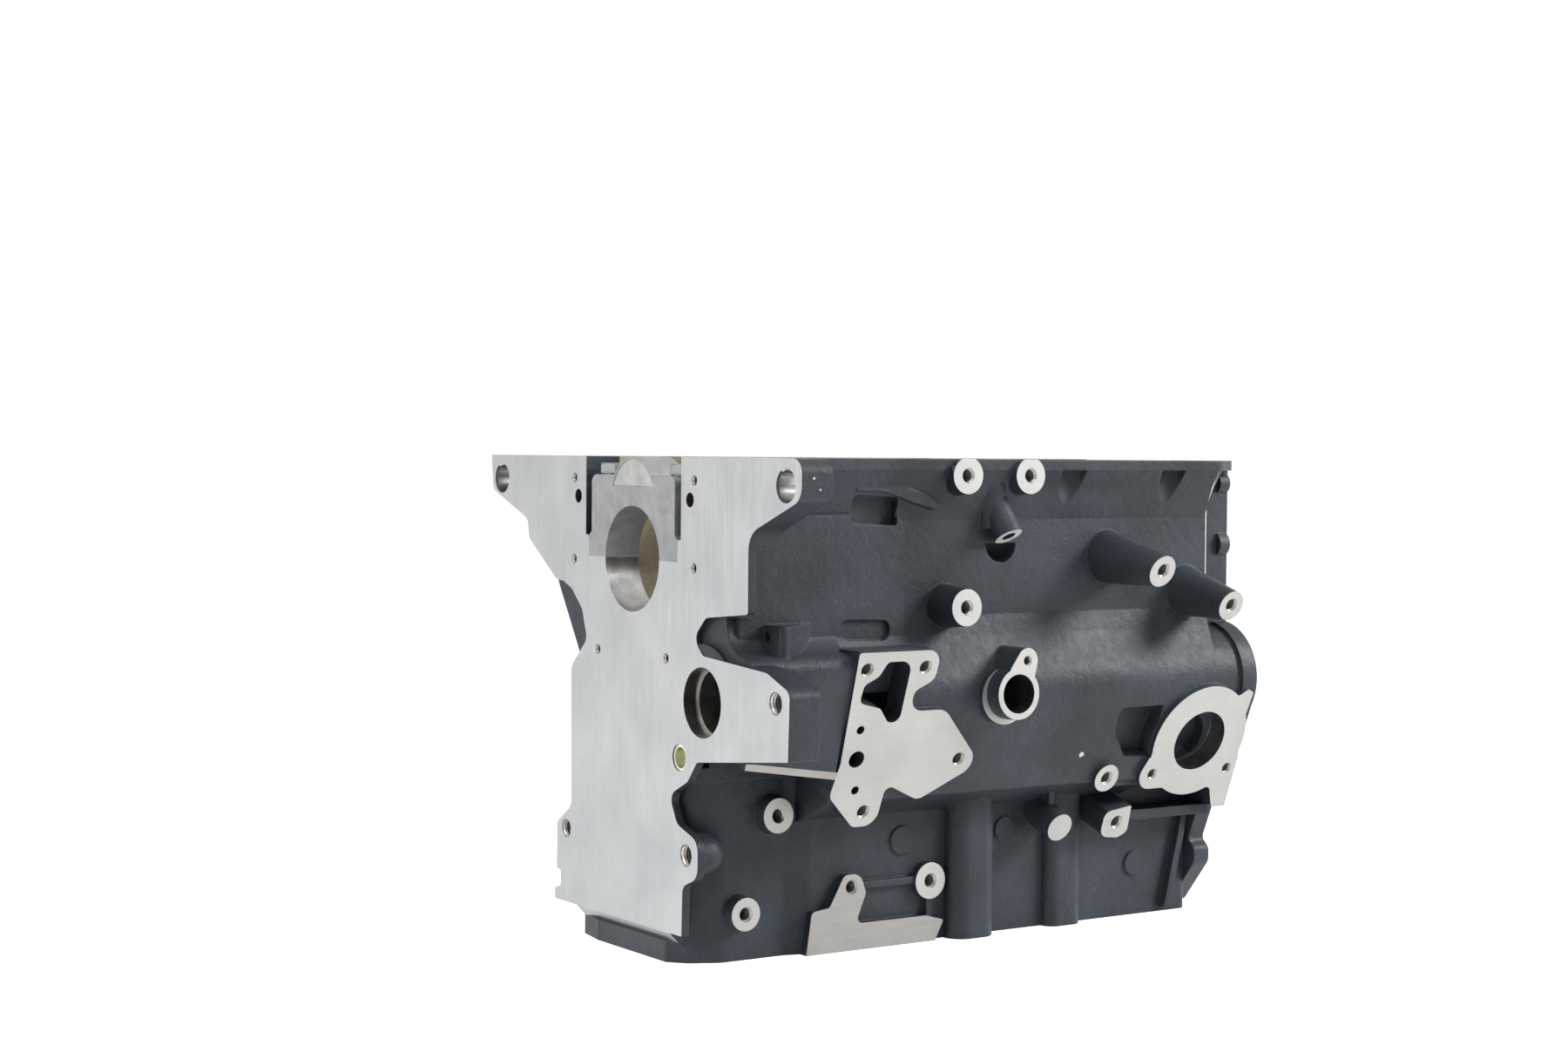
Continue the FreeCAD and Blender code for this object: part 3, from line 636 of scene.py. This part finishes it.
def makeFloor():
    # A pale floor that glows for the camera and in reflections, and still takes the shadow
    mesh = bpy.data.meshes.new("studioFloor")
    half = studio["floorHalf"]
    corners = [(-half, -half, 0), (half, -half, 0), (half, half, 0), (-half, half, 0)]
    mesh.from_pydata(corners, [], [(0, 1, 2, 3)])
    floor = bpy.data.objects.new("studioFloor", mesh)
    scene.collection.objects.link(floor)
    floor.location.z = cadLow.z - studio["floorGap"]
    material, tree, shader = newMaterial("paleFloor")
    shader.inputs["Base Color"].default_value = (*studio["floorColour"], 1)
    shader.inputs["Roughness"].default_value = 0.9
    shader.inputs["Emission Color"].default_value = (1, 1, 1, 1)
    path = tree.nodes.new("ShaderNodeLightPath")
    glow = tree.nodes.new("ShaderNodeMath")
    glow.operation = "MULTIPLY"
    glow.inputs[1].default_value = studio["floorGlow"]
    seen = larger(tree, path.outputs["Is Camera Ray"], path.outputs["Is Glossy Ray"])
    tree.links.new(seen, glow.inputs[0])
    tree.links.new(glow.outputs[0], shader.inputs["Emission Strength"])
    floor.data.materials.append(material)


def makeWorld():
    # Dim even light, with plain white where the camera, reflections or glass look out
    world = bpy.data.worlds.new("studioWorld")
    scene.world = world
    world.use_nodes = True
    tree = world.node_tree
    tree.nodes.clear()
    output = tree.nodes.new("ShaderNodeOutputWorld")
    light = tree.nodes.new("ShaderNodeBackground")
    light.inputs["Color"].default_value = (1, 1, 1, 1)
    light.inputs["Strength"].default_value = studio["worldLight"]
    white = tree.nodes.new("ShaderNodeBackground")
    white.inputs["Color"].default_value = (1, 1, 1, 1)
    white.inputs["Strength"].default_value = 1.0
    path = tree.nodes.new("ShaderNodeLightPath")
    either = larger(tree, path.outputs["Is Camera Ray"], path.outputs["Is Transmission Ray"])
    anyRay = larger(tree, either, path.outputs["Is Glossy Ray"])
    choose = tree.nodes.new("ShaderNodeMixShader")
    tree.links.new(anyRay, choose.inputs[0])
    tree.links.new(light.outputs[0], choose.inputs[1])
    tree.links.new(white.outputs[0], choose.inputs[2])
    tree.links.new(choose.outputs[0], output.inputs[0])


def addLamp(name, place, power, size, target=(0, 0, 0.14)):
    # A soft rectangular lamp turned towards the middle of the part
    lamp = bpy.data.lights.new(name, "AREA")
    lamp.shape = "RECTANGLE"
    lamp.size, lamp.size_y = size
    lamp.energy = power
    holder = bpy.data.objects.new(name, lamp)
    holder.location = place
    holder.rotation_euler = (Vector(target) - Vector(place)).to_track_quat("-Z", "Y").to_euler()
    scene.collection.objects.link(holder)


makeFloor()
makeWorld()
for name, (place, power, size) in lamps.items():
    addLamp(name, place, power, size)

cameraView = {
    "place": (-0.9104, -1.2330, 0.2800),
    "heading": 33.79,  # degrees, as are the next two
    "downTilt": 1.573,
    "roll": 0.469,
    "lens": 58.93,
    "sensor": 36.0,
    "nearest": 0.05,
    "farthest": 60,
}


def makeCamera():
    camera = bpy.data.cameras.new("camera")
    camera.lens = cameraView["lens"]
    camera.sensor_width = cameraView["sensor"]
    camera.clip_start = cameraView["nearest"]
    camera.clip_end = cameraView["farthest"]
    holder = bpy.data.objects.new("camera", camera)
    tilt = math.radians(90 - cameraView["downTilt"])
    turn = Euler((tilt, 0, -math.radians(cameraView["heading"]))).to_matrix()
    turn = turn @ Matrix.Rotation(math.radians(cameraView["roll"]), 3, "Z")
    holder.rotation_euler = turn.to_euler()
    holder.location = cameraView["place"]
    scene.collection.objects.link(holder)
    scene.camera = holder


makeCamera()
scene.view_settings.view_transform = "Standard"

print("done")
